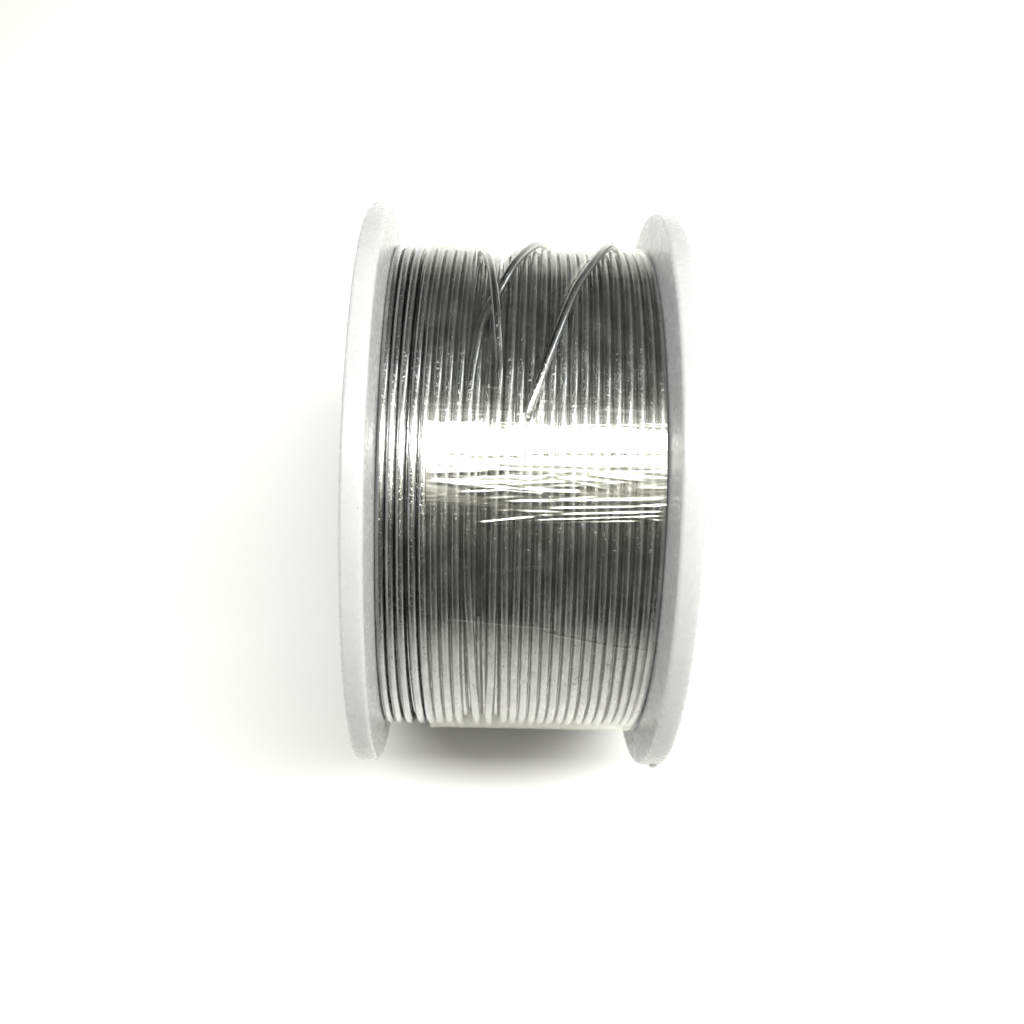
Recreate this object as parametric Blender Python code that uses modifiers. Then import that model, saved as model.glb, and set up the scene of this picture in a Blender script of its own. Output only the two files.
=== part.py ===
"""Spool of 0.8 mm cored solder wire, lying on its two rims with its axis along X.

Two moulded spool halves plug together at the middle of the barrel. The wire is wound between
their flanges in seven layers and a strip of clear film holds it. The wire is one piece on the
real spool. Here it is split into stretches: a ring for each layer, the inner end that is threaded
out through a flange, a strand that crosses the outer layer, and the free tail with its flux core.

Everything hangs on an empty on the spool's axis, whose local Z points along world X. A place on
the spool is given by its distance along the axis, its radius, and its angle from straight up,
positive towards +Y.
"""

import math

import bmesh
import bpy
from mathutils import Vector

MM = 0.001

# Wire and winding
WIRE_R = 0.40 * MM
LAYERS = 7
LAYER_STEP = 0.75 * MM
TURNS = 27
WINDING_HALF = 11.90 * MM
RING_THICKNESS = 0.66 * MM

# Barrel and spindle tube, with the plugged joint halfway along them
BARREL_R = 18.5 * MM
BARREL_BORE_R = 16.7 * MM
TUBE_R = 7.6 * MM
SPINDLE_BORE_R = 5.75 * MM
JOINT_GAP = 0.15 * MM
PLUG_LENGTH = 2.5 * MM
PLUG_CLEARANCE = 0.12 * MM

# Ribs between the spindle tube and the barrel
RIBS = 4
RIB_THICKNESS = 1.6 * MM
RIB_START = 3.0 * MM
RIB_END = 12.4 * MM
RIB_INTO_WALL = 0.8 * MM

# Flange, given by distances from the spool's middle plane
FLANGE_R = 27.5 * MM
RIM_OUTER = 14.6 * MM
RIM_INNER = 12.6 * MM
RIM_ROUND = 0.35 * MM
RIM_LAND = 3.0 * MM
WEB_INNER = 12.05 * MM
WEB_OUTER = 13.65 * MM
FLARE_START_R = 22.6 * MM
FLARE_POINTS = 4
STEP_WIDTH = 0.8 * MM
COLLAR_OUTER = 14.2 * MM
COLLAR_R = 18.4 * MM
CHAMFER = 0.35 * MM

# Hole where the wire starts, in the left flange
START_HOLE_R = 0.9 * MM
START_AT_R = 20.2 * MM
START_ANGLE = math.radians(157)
START_LEAD = 7.5 * MM

# Clear film
FILM_LEFT = -8.1 * MM
FILM_RIGHT = 11.8 * MM
FILM_R = 24.0 * MM
FILM_LIFTED_R = 24.85 * MM
FILM_THICKNESS = 0.10 * MM
FILM_LIFT_FROM = math.radians(-24)
FILM_LIFT_TO = math.radians(98)
FILM_LIFT_RAMP = math.radians(14)

# Strands that lie across the outer layer: (distance along the axis in mm, angle in degrees)
STRAND_CLEARANCE = 0.05 * MM
CROSSING_ROUTE = [(-4.5, -16), (-3.9, -5), (-2.9, 10), (-1.3, 29), (0.5, 43), (1.9, 55), (2.6, 66)]
TAIL_ROUTE = [(0.2, -15), (1.4, -4), (3.6, 14), (6.2, 35), (8.3, 52), (9.8, 67), (10.7, 82), (11.0, 93)]
STRAND_STEP = math.radians(4.5)
CORE_R = 0.14 * MM
CORE_BORE_R = 0.17 * MM
STRAND_SIDES = 2

STEPS = 48
FACET = 2 * math.pi / STEPS
AXIS_HEIGHT = FLANGE_R * math.cos(FACET / 2)
OUTER_LAYER_R = BARREL_R + WIRE_R + (LAYERS - 1) * LAYER_STEP
WINDING_R = OUTER_LAYER_R + WIRE_R
STRAND_R = WINDING_R + WIRE_R + STRAND_CLEARANCE

LEFT, RIGHT = -1, 1


def clear_scene():
    for obj in list(bpy.data.objects):
        bpy.data.objects.remove(obj, do_unlink=True)


def new_collection(name):
    collection = bpy.data.collections.new(name)
    bpy.context.scene.collection.children.link(collection)
    return collection


def material(name, colour, roughness, metallic=0.0, alpha=1.0):
    made = bpy.data.materials.new(name)
    made.use_nodes = True
    shader = made.node_tree.nodes["Principled BSDF"]
    shader.inputs["Base Color"].default_value = (*colour, 1.0)
    shader.inputs["Roughness"].default_value = roughness
    shader.inputs["Metallic"].default_value = metallic
    shader.inputs["Alpha"].default_value = alpha
    return made


def add(name, data, collection, finish=None):
    """A new object that hangs on the spool's axis."""
    obj = bpy.data.objects.new(name, data)
    collection.objects.link(obj)
    obj.parent = AXIS
    if finish:
        data.materials.append(finish)
    return obj


def smooth(mesh):
    mesh.shade_smooth()
    mesh.set_sharp_from_angle(angle=math.radians(30))


def on_spool(along, radius, angle):
    """A place on the spool, in the axis empty's own axes."""
    return Vector((-radius * math.cos(angle), radius * math.sin(angle), along))


def rounded(centre_r, centre_u, radius, start, end, points=3):
    """Points of an arc in the profile's plane, as (radius, distance along the axis)."""
    turns = [start + (end - start) * i / (points - 1) for i in range(points)]
    return [
        (centre_r + radius * math.cos(t), centre_u + radius * math.sin(t)) for t in turns
    ]


def profile_mesh(name, loops):
    """A mesh of closed outlines, each a list of (radius, distance along the axis)."""
    mesh = bpy.data.meshes.new(name)
    bm = bmesh.new()
    for loop in loops:
        corners = [bm.verts.new((radius, 0, along)) for radius, along in loop]
        for i, corner in enumerate(corners):
            bm.edges.new((corner, corners[(i + 1) % len(corners)]))
    bm.to_mesh(mesh)
    bm.free()
    return mesh


def turn(obj):
    """Turns an outline once round the axis, with a flat facet at the bottom, where it rests."""
    obj.rotation_euler.z = FACET / 2
    screw = obj.modifiers.new("turned", "SCREW")
    screw.axis = "Z"
    screw.steps = screw.render_steps = STEPS
    screw.use_merge_vertices = True
    screw.merge_threshold = 0.000001
    screw.use_smooth_shade = True


def boolean(obj, operation, other):
    modifier = obj.modifiers.new(operation.lower(), "BOOLEAN")
    modifier.operation = operation
    modifier.solver = "EXACT"
    modifier.object = other


def helper(obj):
    obj.hide_render = True
    obj.display_type = "WIRE"
    return obj


def flange_and_barrel(plug):
    """Outline of one half's flange and barrel, for the half at positive distances."""
    rim = RIM_ROUND
    outer_edge = rounded(FLANGE_R - rim, RIM_OUTER - rim, rim, math.pi / 2, 0)
    inner_edge = rounded(FLANGE_R - rim, RIM_INNER + rim, rim, 0, -math.pi / 2)
    flare = []
    for i in range(1, FLARE_POINTS + 1):
        share = 1 - i / FLARE_POINTS
        radius = FLARE_START_R + (FLANGE_R - rim - FLARE_START_R) * share
        flare.append((radius, WEB_INNER + (RIM_INNER - WEB_INNER) * share**1.5))
    root = [(BARREL_R, WEB_INNER)]
    step_r = FLANGE_R - RIM_LAND
    face = [
        (BARREL_BORE_R, COLLAR_OUTER - CHAMFER),
        (BARREL_BORE_R + CHAMFER, COLLAR_OUTER),
        (COLLAR_R, COLLAR_OUTER),
        (COLLAR_R + CHAMFER, WEB_OUTER),
        (step_r - STEP_WIDTH, WEB_OUTER),
        (step_r, RIM_OUTER),
    ]
    return outer_edge + inner_edge + flare + root + joint_end(BARREL_R, BARREL_BORE_R, plug) + face


def joint_end(outer_r, inner_r, plug):
    """The end of a tube at the middle of the spool: a plug, or the socket that takes it."""
    middle_r = (outer_r + inner_r) / 2
    if plug:
        plug_r = middle_r - PLUG_CLEARANCE / 2
        tip = -PLUG_LENGTH
        return [
            (outer_r, JOINT_GAP),
            (plug_r, JOINT_GAP),
            (plug_r, tip + CHAMFER),
            (plug_r - CHAMFER, tip),
            (inner_r, tip),
        ]
    socket_r = middle_r + PLUG_CLEARANCE / 2
    floor = PLUG_LENGTH + JOINT_GAP
    return [(outer_r, JOINT_GAP), (socket_r, JOINT_GAP), (socket_r, floor), (inner_r, floor)]


def spindle_tube(plug):
    """Outline of one half's spindle tube, whose end is level with the rim."""
    end = [
        (SPINDLE_BORE_R, RIM_OUTER - CHAMFER),
        (SPINDLE_BORE_R + CHAMFER, RIM_OUTER),
        (TUBE_R - CHAMFER, RIM_OUTER),
        (TUBE_R, RIM_OUTER - CHAMFER),
    ]
    return end + joint_end(TUBE_R, SPINDLE_BORE_R, plug)


def rib_mesh(side):
    """The ribs of one half: boxes on the compass points, sunk into the tube and the barrel."""
    mesh = bpy.data.meshes.new("ribs")
    bm = bmesh.new()
    inner, outer = TUBE_R - RIB_INTO_WALL, BARREL_BORE_R + RIB_INTO_WALL
    for i in range(RIBS):
        angle = 2 * math.pi * i / RIBS
        made = bmesh.ops.create_cube(bm, size=1)["verts"]
        size = (outer - inner, RIB_THICKNESS, RIB_END - RIB_START)
        centre = ((outer + inner) / 2, 0, side * (RIB_START + RIB_END) / 2)
        bmesh.ops.scale(bm, vec=size, verts=made)
        bmesh.ops.translate(bm, vec=centre, verts=made)
        for corner in made:
            x, y = corner.co.x, corner.co.y
            corner.co.x = x * math.cos(angle) - y * math.sin(angle)
            corner.co.y = x * math.sin(angle) + y * math.cos(angle)
    bm.to_mesh(mesh)
    bm.free()
    return mesh


def spool_half(name, side, plug):
    loops = [flange_and_barrel(plug), spindle_tube(plug)]
    if side == LEFT:
        loops = [[(radius, -along) for radius, along in reversed(loop)] for loop in loops]
    half = add(name, profile_mesh(name, loops), PARTS, PLASTIC)
    turn(half)
    boolean(half, "UNION", helper(add(name + "_ribs", rib_mesh(side), CUTTERS)))
    return half


def start_hole(half):
    """The hole in the web of the left flange that the wire's inner end comes out of."""
    mesh = bpy.data.meshes.new("start_hole")
    bm = bmesh.new()
    depth = 2 * (RIM_OUTER - WEB_INNER)
    bmesh.ops.create_cone(
        bm, cap_ends=True, segments=16, radius1=START_HOLE_R, radius2=START_HOLE_R, depth=depth
    )
    bm.to_mesh(mesh)
    bm.free()
    cutter = helper(add("start_hole_cutter", mesh, CUTTERS))
    cutter.location = on_spool(-(WEB_INNER + WEB_OUTER) / 2, START_AT_R, START_ANGLE)
    boolean(half, "DIFFERENCE", cutter)


def layer_ring(number):
    """One inner layer as a plain ring."""
    centre = BARREL_R + WIRE_R + (number - 1) * LAYER_STEP
    outer, inner = centre + RING_THICKNESS / 2, centre - RING_THICKNESS / 2
    half = WINDING_HALF
    loop = [(outer, half), (outer, -half), (inner, -half), (inner, half)]
    name = f"wire_layer_{number}"
    turn(add(name, profile_mesh(name, [loop]), PARTS, SOLDER))


def outer_layer_ring():
    """The outer layer as a ring with a ridge for each turn."""
    pitch = 2 * WINDING_HALF / TURNS
    valley = WINDING_R - 0.45 * pitch
    inner = OUTER_LAYER_R - RING_THICKNESS / 2
    loop = [(valley, WINDING_HALF)]
    for i in range(TURNS):
        top = WINDING_HALF - i * pitch
        loop += [(WINDING_R, top - pitch / 2), (valley, top - pitch)]
    loop += [(inner, -WINDING_HALF), (inner, WINDING_HALF)]
    name = f"wire_layer_{LAYERS}_outer"
    turn(add(name, profile_mesh(name, [loop]), PARTS, SOLDER))


def blend(values, share):
    """Catmull-Rom between the middle two of four values."""
    a, b, c, d = values
    return b + 0.5 * share * (
        c - a + share * (2 * a - 5 * b + 4 * c - d + share * (3 * (b - c) + d - a))
    )


def across_winding(route, radius):
    """Points along a smooth line through a route of (mm along the axis, degrees)."""
    stops = [(along * MM, math.radians(angle)) for along, angle in route]
    stops = [stops[0]] + stops + [stops[-1]]
    points = []
    for i in range(1, len(stops) - 2):
        four = stops[i - 1 : i + 3]
        count = max(2, round(abs(four[2][1] - four[1][1]) / STRAND_STEP))
        for j in range(count):
            along = blend([stop[0] for stop in four], j / count)
            angle = blend([stop[1] for stop in four], j / count)
            points.append(on_spool(along, radius, angle))
    return points + [on_spool(stops[-1][0], radius, stops[-1][1])]


def tube_mesh(name, points, radius):
    """A round tube with closed ends along the points."""
    curve = bpy.data.curves.new(name, "CURVE")
    curve.dimensions = "3D"
    curve.bevel_depth = radius
    curve.bevel_resolution = STRAND_SIDES
    curve.use_fill_caps = True
    spline = curve.splines.new("POLY")
    spline.points.add(len(points) - 1)
    for knot, point in zip(spline.points, points):
        knot.co = (*point, 1)
    drawn = bpy.data.objects.new(name, curve)
    bpy.context.scene.collection.objects.link(drawn)
    bpy.context.view_layer.update()
    mesh = bpy.data.meshes.new_from_object(
        drawn.evaluated_get(bpy.context.evaluated_depsgraph_get())
    )
    bpy.data.objects.remove(drawn, do_unlink=True)
    bm = bmesh.new()
    bm.from_mesh(mesh)
    bmesh.ops.remove_doubles(bm, verts=bm.verts, dist=0.000001)
    bmesh.ops.recalc_face_normals(bm, faces=bm.faces)
    bm.to_mesh(mesh)
    bm.free()
    mesh.materials.clear()
    smooth(mesh)
    return mesh


def past_ends(points, extra):
    """The same points with both ends drawn out, so that a cutter leaves no skin there."""
    first = points[0] + (points[0] - points[1]).normalized() * extra
    last = points[-1] + (points[-1] - points[-2]).normalized() * extra
    return [first, *points[1:-1], last]


def crossing_strand():
    points = across_winding(CROSSING_ROUTE, STRAND_R)
    add("wire_crossing_strand", tube_mesh("strand", points, WIRE_R), PARTS, SOLDER)


def tail_and_core():
    """The free tail, bored for its flux core, and the core itself."""
    points = across_winding(TAIL_ROUTE, STRAND_R)
    tail = add("wire_tail", tube_mesh("tail", points, WIRE_R), PARTS, SOLDER)
    bore = tube_mesh("bore", past_ends(points, WIRE_R), CORE_BORE_R)
    boolean(tail, "DIFFERENCE", helper(add("tail_bore_cutter", bore, CUTTERS)))
    add("flux_core", tube_mesh("core", points, CORE_R), PARTS, FLUX)


def inner_end():
    """The wire's inner end: out through the start hole, then bent down along the web."""
    inside = on_spool(-(WINDING_HALF + 0.1 * MM), START_AT_R, START_ANGLE)
    lie = WEB_OUTER + WIRE_R + STRAND_CLEARANCE
    bend = 0.7 * MM
    across = Vector((math.sin(START_ANGLE), math.cos(START_ANGLE), 0))
    points = [inside]
    for i in range(5):
        turned = math.pi / 2 * i / 4
        out = Vector((0, 0, -(lie - bend + bend * math.sin(turned))))
        points.append(
            Vector((inside.x, inside.y, 0)) + out + across * bend * (1 - math.cos(turned))
        )
    points.append(points[-1] + across * START_LEAD)
    add("wire_inner_end", tube_mesh("inner_end", points, WIRE_R), PARTS, SOLDER)


def film_radius(angle):
    """The film hugs the winding, and lifts clear where strands cross under it."""
    outside = max(FILM_LIFT_FROM - angle, angle - FILM_LIFT_TO, 0)
    share = max(0, 1 - outside / FILM_LIFT_RAMP)
    return FILM_R + (FILM_LIFTED_R - FILM_R) * share


def film_wrap():
    mesh = bpy.data.meshes.new("film_wrap")
    bm = bmesh.new()
    rows = []
    for along in (FILM_LEFT, FILM_RIGHT):
        angles = [-math.pi + FACET * (i + 0.5) for i in range(STEPS)]
        rows.append([bm.verts.new(on_spool(along, film_radius(a), a)) for a in angles])
    for i in range(STEPS):
        j = (i + 1) % STEPS
        bm.faces.new((rows[0][i], rows[0][j], rows[1][j], rows[1][i]))
    bmesh.ops.recalc_face_normals(bm, faces=bm.faces)
    bm.to_mesh(mesh)
    bm.free()
    smooth(mesh)
    shell = add("film_wrap", mesh, PARTS, FILM).modifiers.new("thickness", "SOLIDIFY")
    shell.thickness = FILM_THICKNESS
    shell.offset = 1


clear_scene()
PARTS = new_collection("solder_wire_spool")
CUTTERS = new_collection("cutters")
PLASTIC = material("natural plastic", (0.80, 0.82, 0.83), 0.35)
SOLDER = material("solder wire", (0.58, 0.58, 0.55), 0.25, metallic=1.0)
FLUX = material("rosin flux", (0.60, 0.33, 0.06), 0.40)
FILM = material("clear film", (0.93, 0.95, 0.95), 0.10, alpha=0.25)

AXIS = bpy.data.objects.new("spool_axis", None)
PARTS.objects.link(AXIS)
AXIS.location.z = AXIS_HEIGHT
AXIS.rotation_euler.y = math.pi / 2

start_hole(spool_half("spool_half_left", LEFT, plug=True))
spool_half("spool_half_right", RIGHT, plug=False)
for layer in range(1, LAYERS):
    layer_ring(layer)
outer_layer_ring()
inner_end()
crossing_strand()
tail_and_core()
film_wrap()
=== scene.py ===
"""The looks of the solder wire spool: the turned plastic halves, the outer winding with its
crossing strand and free tail, the layer under it, and the clear film stretched round it.

A place on the spool is given by its distance along the axis (world X), its radius, and its angle
from straight up, positive towards +Y. Tables, radii, outlines and the film's heights are in
millimetres and degrees. What goes into a mesh or a material is in metres and radians.
"""

import math

import bmesh
import bpy
import numpy as np
from mathutils import Matrix, Vector


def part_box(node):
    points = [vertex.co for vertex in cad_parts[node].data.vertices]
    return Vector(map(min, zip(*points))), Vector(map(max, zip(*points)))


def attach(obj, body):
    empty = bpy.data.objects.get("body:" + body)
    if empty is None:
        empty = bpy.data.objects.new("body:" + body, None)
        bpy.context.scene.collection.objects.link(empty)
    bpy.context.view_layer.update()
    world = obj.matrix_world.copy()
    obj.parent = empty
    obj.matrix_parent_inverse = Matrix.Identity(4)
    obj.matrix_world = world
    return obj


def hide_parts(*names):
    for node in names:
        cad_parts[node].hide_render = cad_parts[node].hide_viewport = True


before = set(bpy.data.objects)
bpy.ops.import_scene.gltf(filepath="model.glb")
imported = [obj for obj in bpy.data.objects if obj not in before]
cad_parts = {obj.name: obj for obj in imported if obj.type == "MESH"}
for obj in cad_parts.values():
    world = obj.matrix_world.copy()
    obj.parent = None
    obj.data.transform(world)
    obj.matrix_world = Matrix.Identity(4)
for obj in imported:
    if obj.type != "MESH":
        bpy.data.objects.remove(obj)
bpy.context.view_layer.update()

MM = 0.001
winding_low, winding_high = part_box("wire_layer_7_outer")
AXIS_Z = (winding_low.z + winding_high.z) / 2

# Radii of the rim, the wire, its flux core and the hole that shows it
RIM_R = AXIS_Z / MM
WIRE_R, CORE_R, CORE_HOLE_R = 0.40, 0.165, 0.17
# Radii of the circles that the wire's middle runs on: in the layer below, tucked in at an end, in
# the outer layer and over it; and the film's
LOWER_R, TUCKED_R, OUTER_R, UPPER_R = 22.65, 22.70, 23.40, 24.22
FILM_R = 23.85

# ---------------------------------------------------------------- small tools


def place(along, radius, angle):
    return Vector((along, radius * math.sin(angle), AXIS_Z + radius * math.cos(angle)))


def smooth_line(keys):
    """A smooth function through (place, value) pairs, flat beyond its ends."""
    at = np.array([k[0] for k in keys], float)
    value = np.array([k[1] for k in keys], float)
    slope = np.empty_like(value)
    slope[1:-1] = (value[2:] - value[:-2]) / (at[2:] - at[:-2])
    slope[0] = (value[1] - value[0]) / (at[1] - at[0])
    slope[-1] = (value[-1] - value[-2]) / (at[-1] - at[-2])

    def line(where):
        where = np.clip(np.asarray(where, float), at[0], at[-1])
        i = np.clip(np.searchsorted(at, where, side="right") - 1, 0, len(at) - 2)
        gap = at[i + 1] - at[i]
        t = (where - at[i]) / gap
        # The cubic Hermite weights of the two values and the two slopes
        h00 = (1 + 2 * t) * (1 - t) ** 2
        h10 = t * (1 - t) ** 2
        h01 = t * t * (3 - 2 * t)
        h11 = t * t * (t - 1)
        return (
            h00 * value[i] + h10 * gap * slope[i] + h01 * value[i + 1] + h11 * gap * slope[i + 1]
        )

    return line


def link(obj):
    bpy.context.scene.collection.objects.link(obj)
    return obj


def mesh_object(name, verts, faces):
    mesh = bpy.data.meshes.new(name)
    mesh.from_pydata([tuple(v) for v in verts], [], faces)
    mesh.update()
    mesh.shade_smooth()
    return link(bpy.data.objects.new(name, mesh))


def bmesh_object(name, bm):
    mesh = bpy.data.meshes.new(name)
    bm.to_mesh(mesh)
    bm.free()
    return link(bpy.data.objects.new(name, mesh))


def give(obj, material):
    """Makes this the object's only material."""
    obj.data.materials.clear()
    obj.data.materials.append(material)


# ---------------------------------------------------------------- materials


class Nodes:
    """A short way to write the node tree of a material or of the world."""

    def __init__(self, owner):
        owner.use_nodes = True
        self.owner = owner
        self.tree = owner.node_tree

    def add(self, kind, inputs=None, **settings):
        node = self.tree.nodes.new("ShaderNode" + kind)
        for key, value in settings.items():
            setattr(node, key, value)
        for key, value in (inputs or {}).items():
            self.set(node.inputs[key], value)
        return node

    def set(self, socket, value):
        if isinstance(value, bpy.types.NodeSocket):
            self.tree.links.new(value, socket)
        else:
            socket.default_value = value

    def math(self, operation, a, b=0.0):
        return self.add("Math", {0: a, 1: b}, operation=operation).outputs[0]

    def scaled(self, value, factor, plus):
        return self.add("Math", {0: value, 1: factor, 2: plus}, operation="MULTIPLY_ADD").outputs[0]

    def noise(self, vector, scale, detail=3.0, roughness=0.55):
        node = self.add(
            "TexNoise", {"Vector": vector, "Scale": scale, "Detail": detail, "Roughness": roughness}
        )
        return node.outputs["Fac"]

    def stretched_noise(self, vector, scale, detail, roughness=0.55):
        """Noise with its own scale in each direction, per metre."""
        stretched = self.add("Mapping", {"Vector": vector, "Scale": scale}).outputs[0]
        return self.noise(stretched, 1.0, detail, roughness)

    def object_place(self):
        return self.add("TexCoord").outputs["Object"]

    def unrolled(self, radius):
        """The distance along the spool's axis, and the length round it at a radius."""
        split = self.add("SeparateXYZ", {"Vector": self.object_place()})
        height = self.math("SUBTRACT", split.outputs[2], AXIS_Z)
        turned = self.math("ARCTAN2", split.outputs[1], height)
        return split.outputs[0], self.math("MULTIPLY", turned, radius * MM)

    def ramp(self, value, stops):
        """Colours by value: stops are (value, (red, green, blue))."""
        node = self.add("ValToRGB", {"Fac": value})
        ramp = node.color_ramp
        while len(ramp.elements) < len(stops):
            ramp.elements.new(0.5)
        for element, (at, colour) in zip(ramp.elements, stops):
            element.position = at
            element.color = (*colour, 1.0)
        return node.outputs["Color"]

    def levels(self, value, stops):
        """Greys by value: stops are (value, level)."""
        return self.ramp(value, [(at, (level, level, level)) for at, level in stops])

    def remap(self, value, between, onto=(0.0, 1.0)):
        """The value's range between two numbers stretched onto another range, and cut off there."""
        limits = {"From Min": between[0], "From Max": between[1], "To Min": onto[0], "To Max": onto[1]}
        return self.add("MapRange", {"Value": value, **limits}).outputs[0]

    def mix(self, factor, first, second, blend="MIX"):
        """The second colour laid over the first. A Mix node's colours are inputs 6 and 7."""
        node = self.add("Mix", data_type="RGBA", blend_type=blend)
        for key, value in (("Factor", factor), (6, first), (7, second)):
            self.set(node.inputs[key], value)
        return node.outputs[2]

    def bump(self, height, strength, distance, normal=None):
        node = self.add("Bump", {"Height": height, "Strength": strength, "Distance": distance})
        if normal is not None:
            self.set(node.inputs["Normal"], normal)
        return node.outputs[0]

    def principled(self, **values):
        shader = self.tree.nodes["Principled BSDF"]
        for key, value in values.items():
            self.set(shader.inputs[key.replace("_", " ")], value)


# Where most values of a noise lie
NOISE = (0.3, 0.7)

# How finely each kind of mark varies across the wire, across it the other way and along it, per
# metre, and the noise values between which a pit and a piece of grit begin
LINE_SCALE = (5200.0, 5200.0, 260.0)
PATCH_SCALE = (900.0, 900.0, 300.0)
PIT_SCALE, PIT_EDGE = (3800.0, 3800.0, 2400.0), (0.30, 0.38)
GRIT_SCALE, GRIT_EDGE = (9000.0, 9000.0, 6000.0), (0.62, 0.74)
SOLDER_ROUGHNESS, LINE_ROUGHNESS = (0.18, 0.28), (-0.03, 0.03)
SOLDER_TONES = [
    (0.30, (0.335, 0.338, 0.336)), (0.52, (0.435, 0.437, 0.438)), (0.72, (0.52, 0.522, 0.526)),
]
# What the tone is multiplied by, from inside a pit to outside
PIT_TONES = [(0.0, (0.55, 0.54, 0.50)), (1.0, (1.0, 1.0, 1.0))]


def solder_material(name, wound):
    """Drawn solder: bright grey metal with fine lines along the wire, dull patches, pits and grit.
    A wound wire carries its own coordinates in wire_place, and a plain ring is unrolled."""
    n = Nodes(bpy.data.materials.new(name))
    if wound:
        where = n.add("Attribute", attribute_name="wire_place").outputs["Vector"]
    else:
        along, arc_length = n.unrolled(OUTER_R)
        where = n.add("CombineXYZ", {"X": along, "Y": 0.0, "Z": arc_length}).outputs[0]
    lines = n.stretched_noise(where, LINE_SCALE, detail=3.0)
    patches = n.stretched_noise(where, PATCH_SCALE, detail=4.0)
    unpitted = n.remap(n.stretched_noise(where, PIT_SCALE, detail=2.0), PIT_EDGE)
    grit = n.remap(n.stretched_noise(where, GRIT_SCALE, detail=1.0), GRIT_EDGE)
    colour = n.mix(1.0, n.ramp(patches, SOLDER_TONES), n.ramp(unpitted, PIT_TONES), "MULTIPLY")
    rough = n.math("ADD", n.remap(patches, NOISE, SOLDER_ROUGHNESS), n.remap(lines, NOISE, LINE_ROUGHNESS))
    normal = n.bump(lines, strength=0.07, distance=0.03 * MM)
    normal = n.bump(grit, strength=0.6, distance=0.02 * MM, normal=normal)
    normal = n.bump(unpitted, strength=0.6, distance=0.03 * MM, normal=normal)
    n.principled(Base_Color=colour, Metallic=1.0, Roughness=rough, Normal=normal)
    n.principled(Coat_Weight=0.6, Coat_Roughness=0.12)
    return n.owner


PLASTIC_TONES = [(0.30, (0.465, 0.468, 0.480)), (0.70, (0.490, 0.494, 0.506))]
PLASTIC_ROUGHNESS = (0.24, 0.31)
CLOUDS_PER_METRE, SCUFFS_PER_METRE, SPECK_CELLS_PER_METRE = 160.0, 700.0, 620.0
SPECK_TONE, SPECK_STRENGTH, SPECK_EDGE = (0.28, 0.29, 0.27, 1.0), 0.75, (0.045, 0.085)
# The share of the cells that hold no speck
SPECKLESS = 0.90


def plastic_material():
    """Natural moulded plastic: milky, faintly mottled, with a few dark specks and scuffs."""
    n = Nodes(bpy.data.materials.new("natural_plastic"))
    raw = n.object_place()
    cloud = n.noise(raw, CLOUDS_PER_METRE, detail=2.0)
    scuffs = n.noise(raw, SCUFFS_PER_METRE, detail=2.0)
    cells = n.add("TexVoronoi", {"Vector": raw, "Scale": SPECK_CELLS_PER_METRE}, feature="F1")
    near = n.remap(cells.outputs["Distance"], SPECK_EDGE, (1.0, 0.0))
    lot = n.add("SeparateColor", {0: cells.outputs["Color"]}).outputs[0]
    speck = n.math("MULTIPLY", near, n.math("GREATER_THAN", lot, SPECKLESS))
    tone = n.ramp(cloud, PLASTIC_TONES)
    colour = n.mix(n.math("MULTIPLY", speck, SPECK_STRENGTH), tone, SPECK_TONE)
    n.principled(Base_Color=colour, Roughness=n.remap(scuffs, NOISE, PLASTIC_ROUGHNESS), IOR=1.49)
    n.principled(Normal=n.bump(cloud, strength=0.03, distance=0.3 * MM))
    n.principled(Subsurface_Weight=0.45, Subsurface_Scale=4 * MM, Subsurface_Radius=(1.0, 1.0, 1.0))
    return n.owner


FLUX_TONES = [(0.3, (0.42, 0.19, 0.03)), (0.7, (0.66, 0.38, 0.09))]
FLUX_ROUGHNESS, FLUX_CLOUDS_PER_METRE = (0.25, 0.45), 3000.0


def flux_material():
    """Amber rosin."""
    n = Nodes(bpy.data.materials.new("rosin_flux"))
    cloud = n.noise(n.object_place(), FLUX_CLOUDS_PER_METRE, detail=3.0)
    rough = n.remap(cloud, NOISE, FLUX_ROUGHNESS)
    n.principled(Base_Color=n.ramp(cloud, FLUX_TONES), Roughness=rough, IOR=1.53)
    n.principled(Normal=n.bump(cloud, strength=0.3, distance=0.03 * MM))
    return n.owner


# Where the film is finely crumpled: the angles that the levels span, and how much it is
CRUMPLED_SPAN = (-40, -10)
CRUMPLED = [(0.10, 0.0), (0.28, 0.35), (0.40, 0.75), (0.55, 1.0), (0.76, 1.0), (0.86, 0.0)]
# How much the film mirrors: seen square on where it is smooth and where it is crumpled, how much
# more edge on, and the share of the first two that is left where it clings to a crossing strand
SMOOTH_MIRROR, CRUMPLED_MIRROR, EDGE_MIRROR, CLINGING_MIRROR = 0.095, 0.34, 0.86, 0.10
FILM_ROUGHNESS, CRUMPLED_ROUGHNESS = (0.05, 0.11), 0.28
# The streaks, which run along the axis, and the haze, which makes the film a little milky
STREAK_SCALE, STREAK_EDGE, STREAK_STRENGTH = (90.0, 1500.0, 1.0), (0.35, 0.60), (0.35, 1.25)
HAZE_PER_METRE, HAZE_EDGE, HAZE_STRENGTH = 350.0, (0.35, 0.75), (0.006, 0.026)
CLEAR_TINT, GLOSS_TINT = (0.98, 0.98, 0.975, 1.0), (1.0, 1.0, 0.91, 1.0)
MILKY_TINT = (0.85, 0.86, 0.88, 1.0)


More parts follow.
